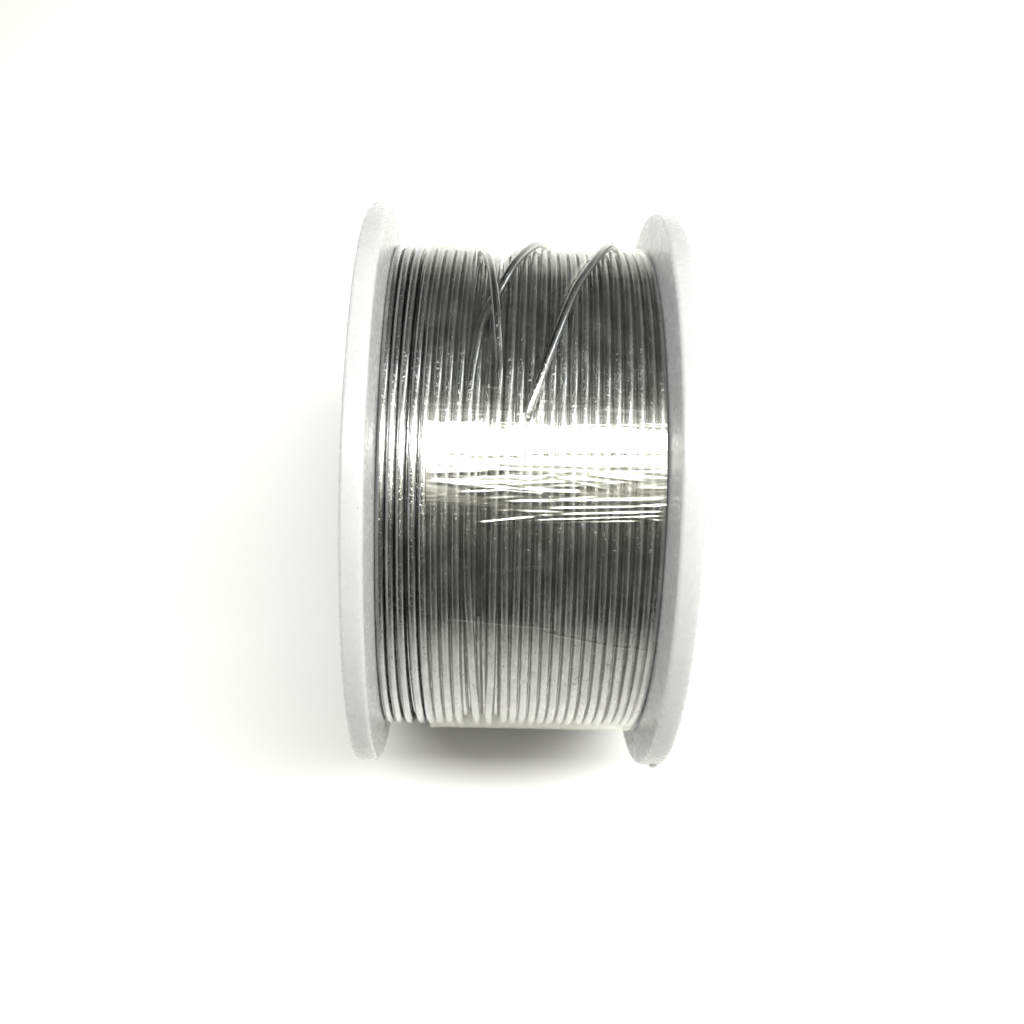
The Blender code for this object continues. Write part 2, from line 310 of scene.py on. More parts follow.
def film_material():
    """Thin clear film: it lets light through and mirrors the lamps, with hazy streaks."""
    n = Nodes(bpy.data.materials.new("clear_film"))
    along, arc_length = n.unrolled(FILM_R)
    where = n.add("CombineXYZ", {"X": along, "Y": arc_length, "Z": 0.0}).outputs[0]
    streaks = n.stretched_noise(where, STREAK_SCALE, detail=4.0, roughness=0.6)
    haze = n.noise(where, HAZE_PER_METRE, detail=3.0)
    normal = n.bump(streaks, strength=0.35, distance=0.06 * MM)
    ends = [math.radians(angle) * FILM_R * MM for angle in CRUMPLED_SPAN]
    band = n.levels(n.remap(arc_length, ends), CRUMPLED)
    crumpled = n.math("MULTIPLY", band, n.remap(streaks, STREAK_EDGE, STREAK_STRENGTH))

    rough = n.scaled(crumpled, CRUMPLED_ROUGHNESS, n.remap(haze, NOISE, FILM_ROUGHNESS))
    facing = n.add("LayerWeight", {"Blend": 0.5, "Normal": normal}).outputs["Facing"]
    clinging = n.add("Attribute", attribute_name="clinging").outputs["Fac"]
    free = n.remap(clinging, (0.0, 1.0), (1.0, CLINGING_MIRROR))
    flat_mirror = n.remap(crumpled, (0.0, 1.0), (SMOOTH_MIRROR, CRUMPLED_MIRROR))
    square_on = n.math("MULTIPLY", flat_mirror, free)
    mirror = n.scaled(n.math("POWER", facing, 6.0), EDGE_MIRROR, square_on)

    clear = n.add("BsdfTransparent", {"Color": CLEAR_TINT}).outputs[0]
    gloss = n.add("BsdfAnisotropic", {"Color": GLOSS_TINT, "Roughness": rough, "Normal": normal}).outputs[0]
    milky = n.add("BsdfDiffuse", {"Color": MILKY_TINT}).outputs[0]
    skin = n.add("MixShader", {0: mirror, 1: clear, 2: gloss}).outputs[0]
    veil = n.remap(haze, HAZE_EDGE, HAZE_STRENGTH)
    veiled = n.add("MixShader", {0: veil, 1: skin, 2: milky}).outputs[0]
    n.set(n.tree.nodes["Material Output"].inputs["Surface"], veiled)
    n.tree.nodes.remove(n.tree.nodes["Principled BSDF"])
    return n.owner


# The floor's painted light and shade: its level by distance in metres from the centre of the painted light,
# darker further away and most towards -X and -Y, and the clouds that blur that
FLOOR_PAINTED_FALLOFF = [(0.07, 0.80), (0.14, 0.52), (0.32, 0.30), (0.9, 0.26)]
PAINTED_LIGHT_CENTRE = Vector((0.03, 0.03, 0.0))
FLOOR_CLOUDS_PER_METRE, PAINTED_FALLOFF_BLUR = 9.0, 0.02


def floor_material():
    """A pale floor with painted light and shade: whitest round the spool and darker further away."""
    n = Nodes(bpy.data.materials.new("pale_floor_painted_falloff"))
    raw = n.object_place()
    shifted = n.add("Mapping", {"Vector": raw, "Location": -PAINTED_LIGHT_CENTRE}).outputs[0]
    away = n.add("VectorMath", {0: shifted}, operation="LENGTH").outputs["Value"]
    blurred_away = n.scaled(n.noise(raw, FLOOR_CLOUDS_PER_METRE, detail=3.0), PAINTED_FALLOFF_BLUR, away)
    # Painted light and shade: the floor's colour darkens with distance from the painted light's centre
    n.principled(Base_Color=n.levels(blurred_away, FLOOR_PAINTED_FALLOFF), Roughness=0.65, Specular_IOR_Level=0.2)
    return n.owner


PLASTIC = plastic_material()
WIRE = solder_material("solder_wire", True)
RING = solder_material("solder_ring", False)
FLUX = flux_material()
FILM = film_material()


# ---------------------------------------------------------------- spool halves

# An outline's points are (radius, distance from the spool's middle)
STEPS = 192
BARREL_R, BARREL_BORE_R = 18.5, 16.7
TUBE_R, SPINDLE_BORE_R = 7.6, 5.75
JOINT_GAP, PLUG_LENGTH, PLUG_CLEARANCE = 0.15, 2.5, 0.12
RIM_OUTER, RIM_INNER, RIM_LAND = 14.6, 12.6, 3.0
WEB_INNER, WEB_OUTER = 12.05, 13.65
FLARE_START_R, FLARE_POINTS, FLARE_CURVE = 22.6, 13, 1.5
COLLAR_OUTER, COLLAR_R = 14.2, 18.4
STEP_WIDTH = 0.8
RIM_EDGE, EDGE, COLLAR_EDGE, CHAMFER = 0.38, 0.3, 0.2, 0.35
# Soft corners, as offsets from where the collar and the slope inside the rim would meet the web
# and the rim's face
COLLAR_FOOT = ((0.35, 0.12), (0.55, 0.0))
STEP_FOOT = ((-0.25, 0.0), (0.0, 0.12))
STEP_TOP = ((-0.12, -0.1), (0.15, 0.0))

RIB_COUNT, RIB_THICK, RIB_EDGE, RIB_SUNK = 4, 1.6, 0.18, 0.8
RIB_FROM, RIB_TO = 3.0, 12.4
START_R, START_ANGLE = 20.2, math.radians(157)
START_HOLE_R, START_HOLE_DEPTH = 0.9, 6.0
GATE_SIZE, GATE_AT, GATE_SUNK = (0.45, 0.55, 0.32), 13.9, 0.02
GATE_ANGLE = {-1: math.radians(50), 1: math.radians(-101)}
HALF_SHARP, WIRE_SHARP = math.radians(42), math.radians(50)


def arc(centre_r, centre_u, radius, start, end, points=7):
    turns = np.linspace(math.radians(start), math.radians(end), points)
    return [(centre_r + radius * math.cos(t), centre_u + radius * math.sin(t)) for t in turns]


def shifted(radius, distance, offsets):
    return [(radius + r, distance + u) for r, u in offsets]


def joint_end(outer_r, inner_r, plug):
    """The end of a wall where the halves meet: a plug, or the socket that it goes into."""
    middle = (outer_r + inner_r) / 2
    if plug:
        at = middle - PLUG_CLEARANCE / 2
        tip = -PLUG_LENGTH
        return [
            (outer_r, JOINT_GAP), (at, JOINT_GAP), (at, tip + CHAMFER), (at - CHAMFER, tip), (inner_r, tip),
        ]
    at = middle + PLUG_CLEARANCE / 2
    bottom = PLUG_LENGTH + JOINT_GAP
    return [(outer_r, JOINT_GAP), (at, JOINT_GAP), (at, bottom), (inner_r, bottom)]


def half_outlines(plug):
    """The closed outlines of the flange with its barrel, and of the spindle tube."""
    edge_r = RIM_R - RIM_EDGE
    step_r = RIM_R - RIM_LAND
    outline = arc(edge_r, RIM_OUTER - RIM_EDGE, RIM_EDGE, 90, 0)
    outline += arc(edge_r, RIM_INNER + RIM_EDGE, RIM_EDGE, 0, -90)
    for share in np.linspace(1, 0, FLARE_POINTS)[1:]:
        radius = FLARE_START_R + (edge_r - FLARE_START_R) * share
        outline.append((radius, WEB_INNER + (RIM_INNER - WEB_INNER) * share**FLARE_CURVE))
    outline += arc(BARREL_R + EDGE, WEB_INNER - EDGE, EDGE, 90, 180, 4)
    outline += joint_end(BARREL_R, BARREL_BORE_R, plug)
    outline += arc(BARREL_BORE_R + EDGE, COLLAR_OUTER - EDGE, EDGE, 180, 90, 5)
    outline += arc(COLLAR_R - COLLAR_EDGE, COLLAR_OUTER - COLLAR_EDGE, COLLAR_EDGE, 90, 20, 4)
    outline += shifted(COLLAR_R, WEB_OUTER, COLLAR_FOOT)
    outline += shifted(step_r - STEP_WIDTH, WEB_OUTER, STEP_FOOT)
    outline += shifted(step_r, RIM_OUTER, STEP_TOP)
    tube = arc(SPINDLE_BORE_R + EDGE, RIM_OUTER - EDGE, EDGE, 180, 90, 5)
    tube += arc(TUBE_R - EDGE, RIM_OUTER - EDGE, EDGE, 90, 0, 5)
    tube += joint_end(TUBE_R, SPINDLE_BORE_R, plug)
    return outline, tube


def turned(outline, side):
    """A closed outline turned once round the axis, as (verts, faces)."""
    verts, faces = [], []
    count = len(outline)
    for i in range(STEPS):
        angle = 2 * math.pi * (i + 0.5) / STEPS
        verts += [place(side * u * MM, r * MM, angle) for r, u in outline]
    for i in range(STEPS):
        a, b = i * count, (i + 1) % STEPS * count
        for j in range(count):
            k = (j + 1) % count
            quad = (a + j, a + k, b + k, b + j)
            faces.append(quad if side > 0 else quad[::-1])
    return verts, faces


def ribs(side):
    """The ribs that join the spindle tube to the barrel, with lightly rounded edges."""
    bm = bmesh.new()
    inner, outer = TUBE_R - RIB_SUNK, BARREL_BORE_R + RIB_SUNK
    size = Vector((RIB_TO - RIB_FROM, RIB_THICK, outer - inner)) * MM
    middle = Vector((side * (RIB_FROM + RIB_TO) / 2, 0, (inner + outer) / 2)) * MM
    for i in range(RIB_COUNT):
        rib = bmesh.ops.create_cube(bm, size=1)["verts"]
        bmesh.ops.scale(bm, vec=size, verts=rib)
        bmesh.ops.translate(bm, vec=middle, verts=rib)
        bmesh.ops.rotate(bm, verts=rib, matrix=Matrix.Rotation(2 * math.pi * i / RIB_COUNT, 3, "X"))
    bmesh.ops.bevel(
        bm, geom=bm.edges[:], offset=RIB_EDGE * MM, segments=2, affect="EDGES", clamp_overlap=True
    )
    bmesh.ops.translate(bm, vec=(0, 0, AXIS_Z), verts=bm.verts)
    return bmesh_object("ribs", bm)


def start_hole():
    """The hole in the left flange that the wire's inner end goes through."""
    bm = bmesh.new()
    radius = START_HOLE_R * MM
    bmesh.ops.create_cone(
        bm, cap_ends=True, segments=32, radius1=radius, radius2=radius, depth=START_HOLE_DEPTH * MM
    )
    bmesh.ops.rotate(bm, verts=bm.verts, matrix=Matrix.Rotation(math.pi / 2, 3, "Y"))
    middle = place(-(WEB_INNER + WEB_OUTER) / 2 * MM, START_R * MM, START_ANGLE)
    bmesh.ops.translate(bm, vec=middle, verts=bm.verts)
    return bmesh_object("hole", bm)


def gate_nib(side):
    """The small nib that the mould's gate leaves on the rim."""
    bm = bmesh.new()
    bmesh.ops.create_uvsphere(bm, u_segments=20, v_segments=12, radius=1.0)
    bmesh.ops.scale(bm, vec=Vector(GATE_SIZE) * MM, verts=bm.verts)
    bmesh.ops.rotate(bm, verts=bm.verts, matrix=Matrix.Rotation(-GATE_ANGLE[side], 3, "X"))
    middle = place(side * GATE_AT * MM, (RIM_R - GATE_SUNK) * MM, GATE_ANGLE[side])
    bmesh.ops.translate(bm, vec=middle, verts=bm.verts)
    return bmesh_object("gate", bm)


def cut_or_join(obj, other, operation):
    modifier = obj.modifiers.new("boolean", "BOOLEAN")
    modifier.operation = operation
    modifier.solver = "EXACT"
    modifier.object = other
    bpy.context.view_layer.update()
    result = bpy.data.meshes.new_from_object(
        obj.evaluated_get(bpy.context.evaluated_depsgraph_get())
    )
    obj.modifiers.clear()
    obj.data = result
    bpy.data.objects.remove(other, do_unlink=True)


def spool_half(name, side, plug):
    verts, faces = [], []
    for outline in half_outlines(plug):
        more, quads = turned(outline, side)
        faces += [tuple(i + len(verts) for i in quad) for quad in quads]
        verts += more
    half = mesh_object(name + "_moulding", verts, faces)
    cut_or_join(half, ribs(side), "UNION")
    if side < 0:
        cut_or_join(half, start_hole(), "DIFFERENCE")
    cut_or_join(half, gate_nib(side), "UNION")
    half.data.shade_smooth()
    half.data.set_sharp_from_angle(angle=HALF_SHARP)
    give(half, PLASTIC)
    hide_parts(name)
    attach(half, "root")


spool_half("spool_half_left", -1, True)
spool_half("spool_half_right", 1, False)


# ---------------------------------------------------------------- the outer winding

# How far each regular turn stands along the axis where it faces the viewer, in winding order from
# the right flange, and how much it bows to the right above and below that place
RIGHT_TURNS = [
    11.64, 10.83, 9.87, 8.86, 7.88, 6.98, 6.05, 5.10, 4.19, 3.28, 2.37, 1.47, 0.57, -0.32, -1.20,
]
LEFT_TURNS = [-5.40, -6.33, -7.24, -8.16, -9.04, -10.02, -10.86, -11.66]
BOW = [
    (-105, 0.50), (-85, 0.41), (-70, 0.26), (-50, 0.11), (-30, 0.0), (-12, 0.03), (4, 0.12), (20, 0.30),
    (36, 0.48), (53, 0.60),
]
# The distance from the middle up to which a turn has its whole bow, and over which that fades out
BOW_WHOLE, BOW_FADE = 8.9, 2.8
# How far two of the turns move apart, and how much of that at each angle
PARTED = {13: 0.14, 14: -0.12}
PARTED_SHARE = {-50: 0.5, -30: 1.0, -12: 0.4}
# How far the last right turns spread at the back, and how much further by half a turn on
BACK_SPREAD = {14: -1.45, 13: -1.15, 12: -0.85, 11: -0.55, 10: -0.25}
BACK_DRIFT = -0.35
FIRST_TURN_BACK = [(90, 11.62), (150, 11.25), (195, 10.98)]
# The wire's course past its two tucked ends at the flanges
WINDING_START, START_ALONG = -250, [(-250, 11.60), (-180, 11.64)]
START_RADII = [(-250, TUCKED_R), (-185, 23.36), (-150, OUTER_R)]
WINDING_END, END_ALONG, END_RADII = 200, [(200, -11.62)], [(60, OUTER_R), (200, TUCKED_R)]

# The turn left of the parted place, which rides up over its neighbours near the top
HIGH_LEFT = [
    (-105, -2.10), (-85, -2.17), (-70, -2.10), (-50, -2.18), (-30, -2.19), (-12, -2.12), (0, -2.05),
    (8, -2.24), (17, -2.54), (27, -2.86), (36, -3.20), (53, -3.80), (80, -4.15), (180, -4.15), (225, -3.70),
]
HIGH_LEFT_RADII = [
    (2, OUTER_R), (8, 23.75), (14, 24.20), (24, 24.20), (34, 23.92), (45, 23.50), (55, OUTER_R),
]
# The next turn, which crosses over the others on a slant at the top and round the back
CROSSING = [
    (-105, -3.25), (-85, -3.44), (-70, -3.76), (-60, -3.97), (-50, -4.22), (-40, -4.40), (-30, -4.47),
    (-17, -4.47), (-4, -4.40), (6, -3.95), (12, -3.50), (17, -2.93), (21.5, -2.22), (26, -1.48), (31, -0.78),
    (41, 0.55), (50, 1.60), (60, 2.35), (75, 2.75), (100, 2.60), (140, 1.00), (180, -1.20), (215, -3.35),
    (240, -4.55),
]
CROSSING_RADII = [
    (20, OUTER_R), (22.5, 23.50), (26, 23.95), (29, 24.18), (33, UPPER_R), (222, UPPER_R), (238, 23.95),
    (252, 23.50), (262, OUTER_R),
]
# The tail, from where it comes up between two turns at the front to its cut end at the back
TAIL = [
    (-27, -0.74), (-21, -0.62), (-15, 0.02), (-9, 0.68), (-1.5, 1.70), (8, 2.92), (20.5, 4.52),
    (30, 6.00), (43, 7.72), (53, 8.78), (67, 9.85), (82, 10.60), (93, 10.95),
]
TAIL_RADII = [
    (-27, 22.60), (-20, TUCKED_R), (-16, 23.08), (-12.3, 23.52), (-8.8, 23.90), (-4.5, 24.16),
    (0, UPPER_R), (93, UPPER_R),
]

HIGH_LEFT_TURN = len(RIGHT_TURNS)
CROSSING_TURN = HIGH_LEFT_TURN + 1
FIRST_LEFT_TURN = CROSSING_TURN + 1
LAST_TURN = FIRST_LEFT_TURN + len(LEFT_TURNS) - 1
HIGH_FROM, HIGH_TO = 360 * HIGH_LEFT_TURN, 360 * HIGH_LEFT_TURN + 94.0
CROSS_FROM, CROSS_TO = 360 * CROSSING_TURN - 16.0, 360 * CROSSING_TURN + 250.0
TAIL_FROM, TAIL_TO = 93.0, -27.0
STEP_DEG, LOWER_STEP_DEG, CORE_STEP_DEG = 2.0, 3.0, 0.5
CORE_DEG, CORE_SUNK, CORE_HOLE_DEPTH = 5.0, 0.04, 0.8
# A cut end's rounded edge: the share of the radius left flat, and its length
CUT_FLAT, CUT_ROUND = 0.93, 0.03

WOBBLE_WAVES, WOBBLE_SLOWNESS, WOBBLE_PHASES = (3.3, 5.7, 9.1), 2.1, 6.28
OUTER_SEED, OUTER_WOBBLE = 11, 0.035
LOWER_SEED, LOWER_WOBBLE = 21, 0.05
RADIUS_WOBBLE = 0.02


def bow_share(along):
    return max(0.0, 1 - max(0.0, abs(along) - BOW_WHOLE) / BOW_FADE)


def at_turn(turn, keys):
    return [(angle + 360 * turn, value) for angle, value in keys]


def turn_keys(turn, along, outer=False):
    """(total angle, distance) keys of one regular turn."""
    apart = PARTED.get(turn, 0.0) if outer else 0.0
    spread = BACK_SPREAD.get(turn, 0.0) if outer else 0.0
    share = bow_share(along)
    keys = [(a, along + bow * share + apart * PARTED_SHARE.get(a, 0.0)) for a, bow in BOW]
    if spread:
        low = keys[-1][1]
        keys += [(95, low + spread), (170, low + spread + BACK_DRIFT)]
    elif outer and turn == 0:
        keys += FIRST_TURN_BACK
    return at_turn(turn, keys)


def outer_lines():
    """The whole outer wire as two smooth functions of total angle: distance and radius."""
    along, radius = START_ALONG[:], START_RADII[:]
    for turn, value in enumerate(RIGHT_TURNS):
        along += turn_keys(turn, value, True)
    along += at_turn(HIGH_LEFT_TURN, HIGH_LEFT) + at_turn(CROSSING_TURN, CROSSING)
    radius += at_turn(HIGH_LEFT_TURN, HIGH_LEFT_RADII) + at_turn(CROSSING_TURN, CROSSING_RADII)
    for turn, value in enumerate(LEFT_TURNS, FIRST_LEFT_TURN):
        along += turn_keys(turn, value, True)
    along += at_turn(LAST_TURN, END_ALONG)
    radius += at_turn(LAST_TURN, END_RADII)
    return smooth_line(along), smooth_line(radius)


def wobble(angle, seed, strength):
    """A small smooth irregularity along a wire, by its total angle."""
    rng = np.random.default_rng(seed)
    total = np.zeros_like(angle)
    for wave in WOBBLE_WAVES:
        height = rng.normal()
        turns = np.radians(angle) * wave / WOBBLE_SLOWNESS
        total += height * np.sin(turns + rng.uniform(0, WOBBLE_PHASES)) / wave
    return total * strength


def course(angle, lines, seed, strength):
    """A wire's points at these total angles, from its functions for distance and radius."""
    along_line, radius_line = lines
    along = along_line(angle) + wobble(angle, seed, strength)
    radius = radius_line(angle) + wobble(angle, seed + 1, RADIUS_WOBBLE)
    return [place(a * MM, r * MM, math.radians(t)) for a, r, t in zip(along, radius, angle)]


def outer_points(start, end, lines, step=STEP_DEG):
    count = round(abs(end - start) / step) + 1
    return course(np.linspace(start, end, count), lines, OUTER_SEED, OUTER_WOBBLE)


def unit(rows):
    return rows / np.linalg.norm(rows, axis=1)[:, None]


def wire_tube(name, points, radius=WIRE_R, sides=14, bore=0.0, bore_depth=0.0):
    """A round wire along points, with closed ends. wire_place holds a place in the wire's own
    coordinates: across, across and along. With a bore, the first end shows a ring and a hole."""
    centre = np.array([tuple(p) for p in points])
    ahead = unit(np.gradient(centre, axis=0))
    out = unit(centre * np.array([0, 1, 1]) - np.array([0, 0, AXIS_Z]))
    out = unit(out - (out * ahead).sum(1)[:, None] * ahead)
    side = np.cross(ahead, out)
    length = np.concatenate([[0], np.cumsum(np.linalg.norm(np.diff(centre, axis=0), axis=1))])
    rings = [(centre[i], i, length[i], radius) for i in range(len(centre))]
    if bore:
        deep, rounded = (centre[0] + ahead[0] * step * MM for step in (bore_depth, CUT_ROUND))
        rings[:1] = [
            (deep, 0, bore_depth * MM, bore),
            (centre[0], 0, 0.0, bore),
            (centre[0], 0, 0.0, radius * CUT_FLAT),
            (rounded, 0, 0.0, radius),
        ]
    verts, spots = [], []
    for middle, i, run, size in rings:
        for turn in np.arange(sides) * 2 * math.pi / sides:
            c, s = size * MM * math.cos(turn), size * MM * math.sin(turn)
            verts.append(middle + c * out[i] + s * side[i])
            spots.append((c, s, run))
    faces = []
    for i in range(len(rings) - 1):
        a, b = i * sides, (i + 1) * sides
        for j in range(sides):
            k = (j + 1) % sides
            faces.append((a + j, a + k, b + k, b + j))
    last = (len(rings) - 1) * sides
    faces.append(tuple(range(sides))[::-1])
    faces.append(tuple(range(last, last + sides)))
    made = mesh_object(name, verts, faces)
    places = made.data.attributes.new("wire_place", "FLOAT_VECTOR", "POINT")
    places.data.foreach_set("vector", np.array(spots, np.float32).ravel())
    made.data.set_sharp_from_angle(angle=WIRE_SHARP)
    give(made, WIRE)
    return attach(made, "root")


OUTER_LINES = outer_lines()
TAIL_LINES = smooth_line(TAIL), smooth_line(TAIL_RADII)

tail_points = outer_points(TAIL_FROM, TAIL_TO, TAIL_LINES)
tail = wire_tube("wire_tail_wire", tail_points, bore=CORE_HOLE_R, bore_depth=CORE_HOLE_DEPTH)
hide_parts("wire_tail")
crossing = wire_tube("wire_crossing_wire", outer_points(CROSS_FROM, CROSS_TO, OUTER_LINES))
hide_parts("wire_crossing_strand")
right_turns = wire_tube("winding_right_turns", outer_points(WINDING_START, CROSS_FROM, OUTER_LINES))
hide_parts("wire_layer_7_outer")
left_turns = wire_tube(
    "winding_left_turns", outer_points(CROSS_TO, 360 * LAST_TURN + WINDING_END, OUTER_LINES)
)
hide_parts("wire_layer_7_outer")

core_points = outer_points(TAIL_FROM, TAIL_FROM - CORE_DEG, TAIL_LINES, CORE_STEP_DEG)
sunk = (core_points[1] - core_points[0]).normalized() * CORE_SUNK * MM
core = wire_tube("rosin_core", [p + sunk for p in core_points], CORE_R, 12)
give(core, FLUX)
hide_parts("flux_core")


# ---------------------------------------------------------------- the layer under it

# Its turns lie in the grooves between the turns above; four more show in the parted place
GROOVES = [(p + q) / 2 for row in (LEFT_TURNS, RIGHT_TURNS) for p, q in zip(row[:-1], row[1:])]
LOWER_TURNS = sorted([-4.90, -3.94, -2.98, -1.95, *GROOVES])
LOWER_START = -150
HIDDEN_LAYERS = range(1, 6)


def lower_points():
    keys = []
    for turn, along in enumerate(LOWER_TURNS):
        keys += turn_keys(turn, along)
    angle = np.arange(LOWER_START, 360 * len(LOWER_TURNS) + LOWER_START, LOWER_STEP_DEG)
    level = smooth_line([(0, LOWER_R), (1, LOWER_R)])
    return course(angle, (smooth_line(keys), level), LOWER_SEED, LOWER_WOBBLE)


lower = wire_tube("winding_lower_turns", lower_points(), sides=10)
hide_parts("wire_layer_6")

for number in HIDDEN_LAYERS:
    give(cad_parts[f"wire_layer_{number}"], RING)


# ---------------------------------------------------------------- inner end

# Where the inner end leaves the winding, how it bends flat against the flange, and how it lies
INNER_FROM, INNER_STRAIGHT = -11.9, 0.8
INNER_BEND_R, BEND_STEPS = 0.8, 8
INNER_CLEAR, INNER_RUN, INNER_LIFT, RUN_STEPS = 0.45, 7.4, 0.35, 12


def inner_end_points():
    inside = place(INNER_FROM * MM, START_R * MM, START_ANGLE)
    across = Vector((0, math.cos(START_ANGLE), -math.sin(START_ANGLE)))
    points = [inside, inside + Vector((-INNER_STRAIGHT * MM, 0, 0))]
    base = Vector((0, inside.y, inside.z))
    for i in range(BEND_STEPS + 1):
        bent = math.pi / 2 * i / BEND_STEPS
        outward = WEB_OUTER + INNER_CLEAR - INNER_BEND_R * (1 - math.sin(bent))
        sideways = INNER_BEND_R * (1 - math.cos(bent))
        points.append(base + Vector((-outward, 0, 0)) * MM + across * sideways * MM)
    flat = points[-1]
    for i in range(1, RUN_STEPS + 1):
        share = i / RUN_STEPS
        lifted = Vector((0, 0, INNER_LIFT * share**2))
        points.append(flat + (across * INNER_RUN * share + lifted) * MM)
    return points


inner_end = wire_tube("wire_inner_end_wire", inner_end_points(), sides=16)
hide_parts("wire_inner_end")


# ---------------------------------------------------------------- film

# The film's left edge by angle, what it averages, its right edge, and how finely it is divided:
# (from, to, step) round the winding, and rows along the axis
FILM_EDGE = [
    (-180, -8.10), (-135, -7.85), (-95, -7.68), (-72, -7.62), (-50, -7.66), (-25, -7.86), (-9, -8.06),
    (7, -8.42), (23, -8.90), (38, -9.40), (60, -9.60), (90, -9.50), (135, -8.90), (180, -8.10),
]
FILM_LEFT, FILM_RIGHT = -8.3, 11.93
FILM_SPANS = ((-66, -34, 0.16), (-34, -14, 0.12), (-14, 32, 0.2), (32, 294, 1.2))
FILM_ROWS = 120
EDGE_CURL, CURL_WIDTH = 0.05, 0.35

# A crossing wire lifts the film where it stands this far over it, looked for at each such step of
# angle; the film stands off the wire a little
STRAND_PROUD, STRAND_STEP, FILM_STAND_OFF = 0.02, 0.25, 0.015
# Tents beside the crossing wires: how steeply they fall, how many times they are smoothed round
# the winding and along the axis, and how much each time round, less where the steps are fine
TENT_FALL, TENT_ROUND_PASSES, TENT_ALONG_PASSES = 6.0, 60, 20
TENT_SHARE, WIDE_STEP, LEAST_SHARE = 0.25, 0.5, 0.3
LAST_ROUND_PASSES, LAST_SHARE, LAST_ALONG_PASSES = 4, 0.2, 2
# A raised stretch counts as clinging from this height, wholly so after this much more; it spreads
# in so many passes, and fades in from this angle on
CLINGING_FROM, CLINGING_RISE, CLINGING_PASSES = 0.04, 0.12, 8
CLINGING_ANGLE, CLINGING_FADE = -14.0, 1.2

# Creases in the film: (angle, slant in degrees per mm, from, to, width in degrees, height in mm)
CREASES = [
    (-23.6, 0.10, -7.6, -1.0, 0.45, 0.050), (-25.2, -0.22, -7.6, 2.0, 0.50, 0.060),
    (-27.2, 0.05, -4.0, 5.0, 0.50, 0.062), (-29.0, 0.08, -1.5, 11.9, 0.34, 0.050),
    (-30.2, 0.10, 2.0, 11.9, 0.30, 0.048), (-31.6, 0.12, 1.0, 11.9, 0.30, 0.052),
    (-32.9, 0.14, -1.0, 11.9, 0.30, 0.056), (-33.6, 0.10, -3.6, 11.9, 0.30, 0.056),
    (-33.4, 0.30, -3.8, 1.6, 0.36, 0.070), (-21.6, 0.02, -2.0, 11.9, 0.45, 0.040),
    (-19.4, 0.05, -7.0, 11.9, 0.40, 0.030), (-43.4, 0.25, -3.8, 2.5, 0.26, 0.060),
    (-54.0, -0.22, -6.0, 3.0, 0.22, 0.075), (-57.0, -0.60, 2.5, 8.0, 0.22, 0.075),
    (-60.2, -0.35, 8.0, 11.5, 0.22, 0.070), (-5.8, -0.85, -1.0, 2.6, 0.20, 0.014),
    (49.0, 0.12, -6.0, 3.5, 0.80, 0.090), (44.5, 0.20, -8.0, 2.5, 0.70, 0.060),
]
CREASE_FADE, CREASE_SEED = 0.7, 5
# Small creases in the crumpled band, in the fringe below it and at the top: how many, and between
# which angles they lie
SMALL_COUNT, BAND_COUNT, TOP_COUNT = 90, 72, 10
BAND, FRINGE, TOP = (-26.0, -18.6), (-32.0, -26.0), (-6.0, 30.0)
# Their left ends, lengths, widths and slants, as ranges and as a spread
SMALL_START, SMALL_LENGTH, SMALL_WIDTH, SMALL_SLANT = (-7.5, 10.5), (1.2, 5.5), (0.22, 0.36), 0.2
TOP_START, TOP_LENGTH, TOP_WIDTH, TOP_SLANT, TOP_HEIGHT = (-7.5, 9.5), (2.0, 7.0), 0.40, 0.9, 0.014
# A crease shines where its flank tilts the film from its own angle to the one that mirrors the key
# light: the share of that tilt, and the height of a crease of width 1 and tilt 1
LAMP_MIRROR, TILT_SHARE, HEIGHT_SHARE = -15.5, (0.6, 1.15), 0.45
# Where it stands a little off the wires: (angle, half width in degrees, height in mm)
LOOSE = [(-104.0, 13.0, 0.38), (49.0, 10.0, 0.22)]


def smoothed(rows, share):
    """One pass of smoothing round the winding."""
    return rows + share * (np.roll(rows, 1, 1) + np.roll(rows, -1, 1) - 2 * rows)


def beside_rows(rows):
    """The rows on either side along the axis, each end standing in for what lies beyond it."""
    padded = np.pad(rows, ((1, 1), (0, 0)), mode="edge")
    return padded[:-2], padded[2:]


def blurred(rows, passes):
    """Smoothing along the axis."""
    for _ in range(passes):
        left, right = beside_rows(rows)
        rows = 0.25 * left + 0.5 * rows + 0.25 * right
    return rows


def widened(rows, passes):
    """Each raised place reaches a little further round the winding and along the axis."""
    for _ in range(passes):
        rows = np.maximum(rows, 0.5 * np.roll(rows, 1, 1) + 0.5 * np.roll(rows, -1, 1))
        rows = np.maximum.reduce([rows, 0.97 * np.roll(rows, 1, 1), 0.97 * np.roll(rows, -1, 1)])
        left, right = beside_rows(rows)
        rows = np.maximum.reduce([rows, 0.92 * left, 0.92 * right])
    return rows


def strands_at(along):
    """Where the wires that cross above the outer layer pass this distance: the angle, the radius
    of the wire's centre, and half its width there."""
    found = []
    spans = (
        (TAIL_TO, TAIL_FROM, TAIL_LINES),
        (CROSS_FROM, CROSS_TO, OUTER_LINES),
        (HIGH_FROM, HIGH_TO, OUTER_LINES),
    )
    for start, end, (along_line, radius_line) in spans:
        angle = np.arange(start, end, STRAND_STEP)
        off = along_line(angle) - along
        radius = radius_line(angle)
        near = (np.abs(off) < WIRE_R) & (radius + WIRE_R > FILM_R + STRAND_PROUD)
        half = np.sqrt(WIRE_R**2 - off[near] ** 2)
        found += list(zip(angle[near], radius[near], half))
    return found


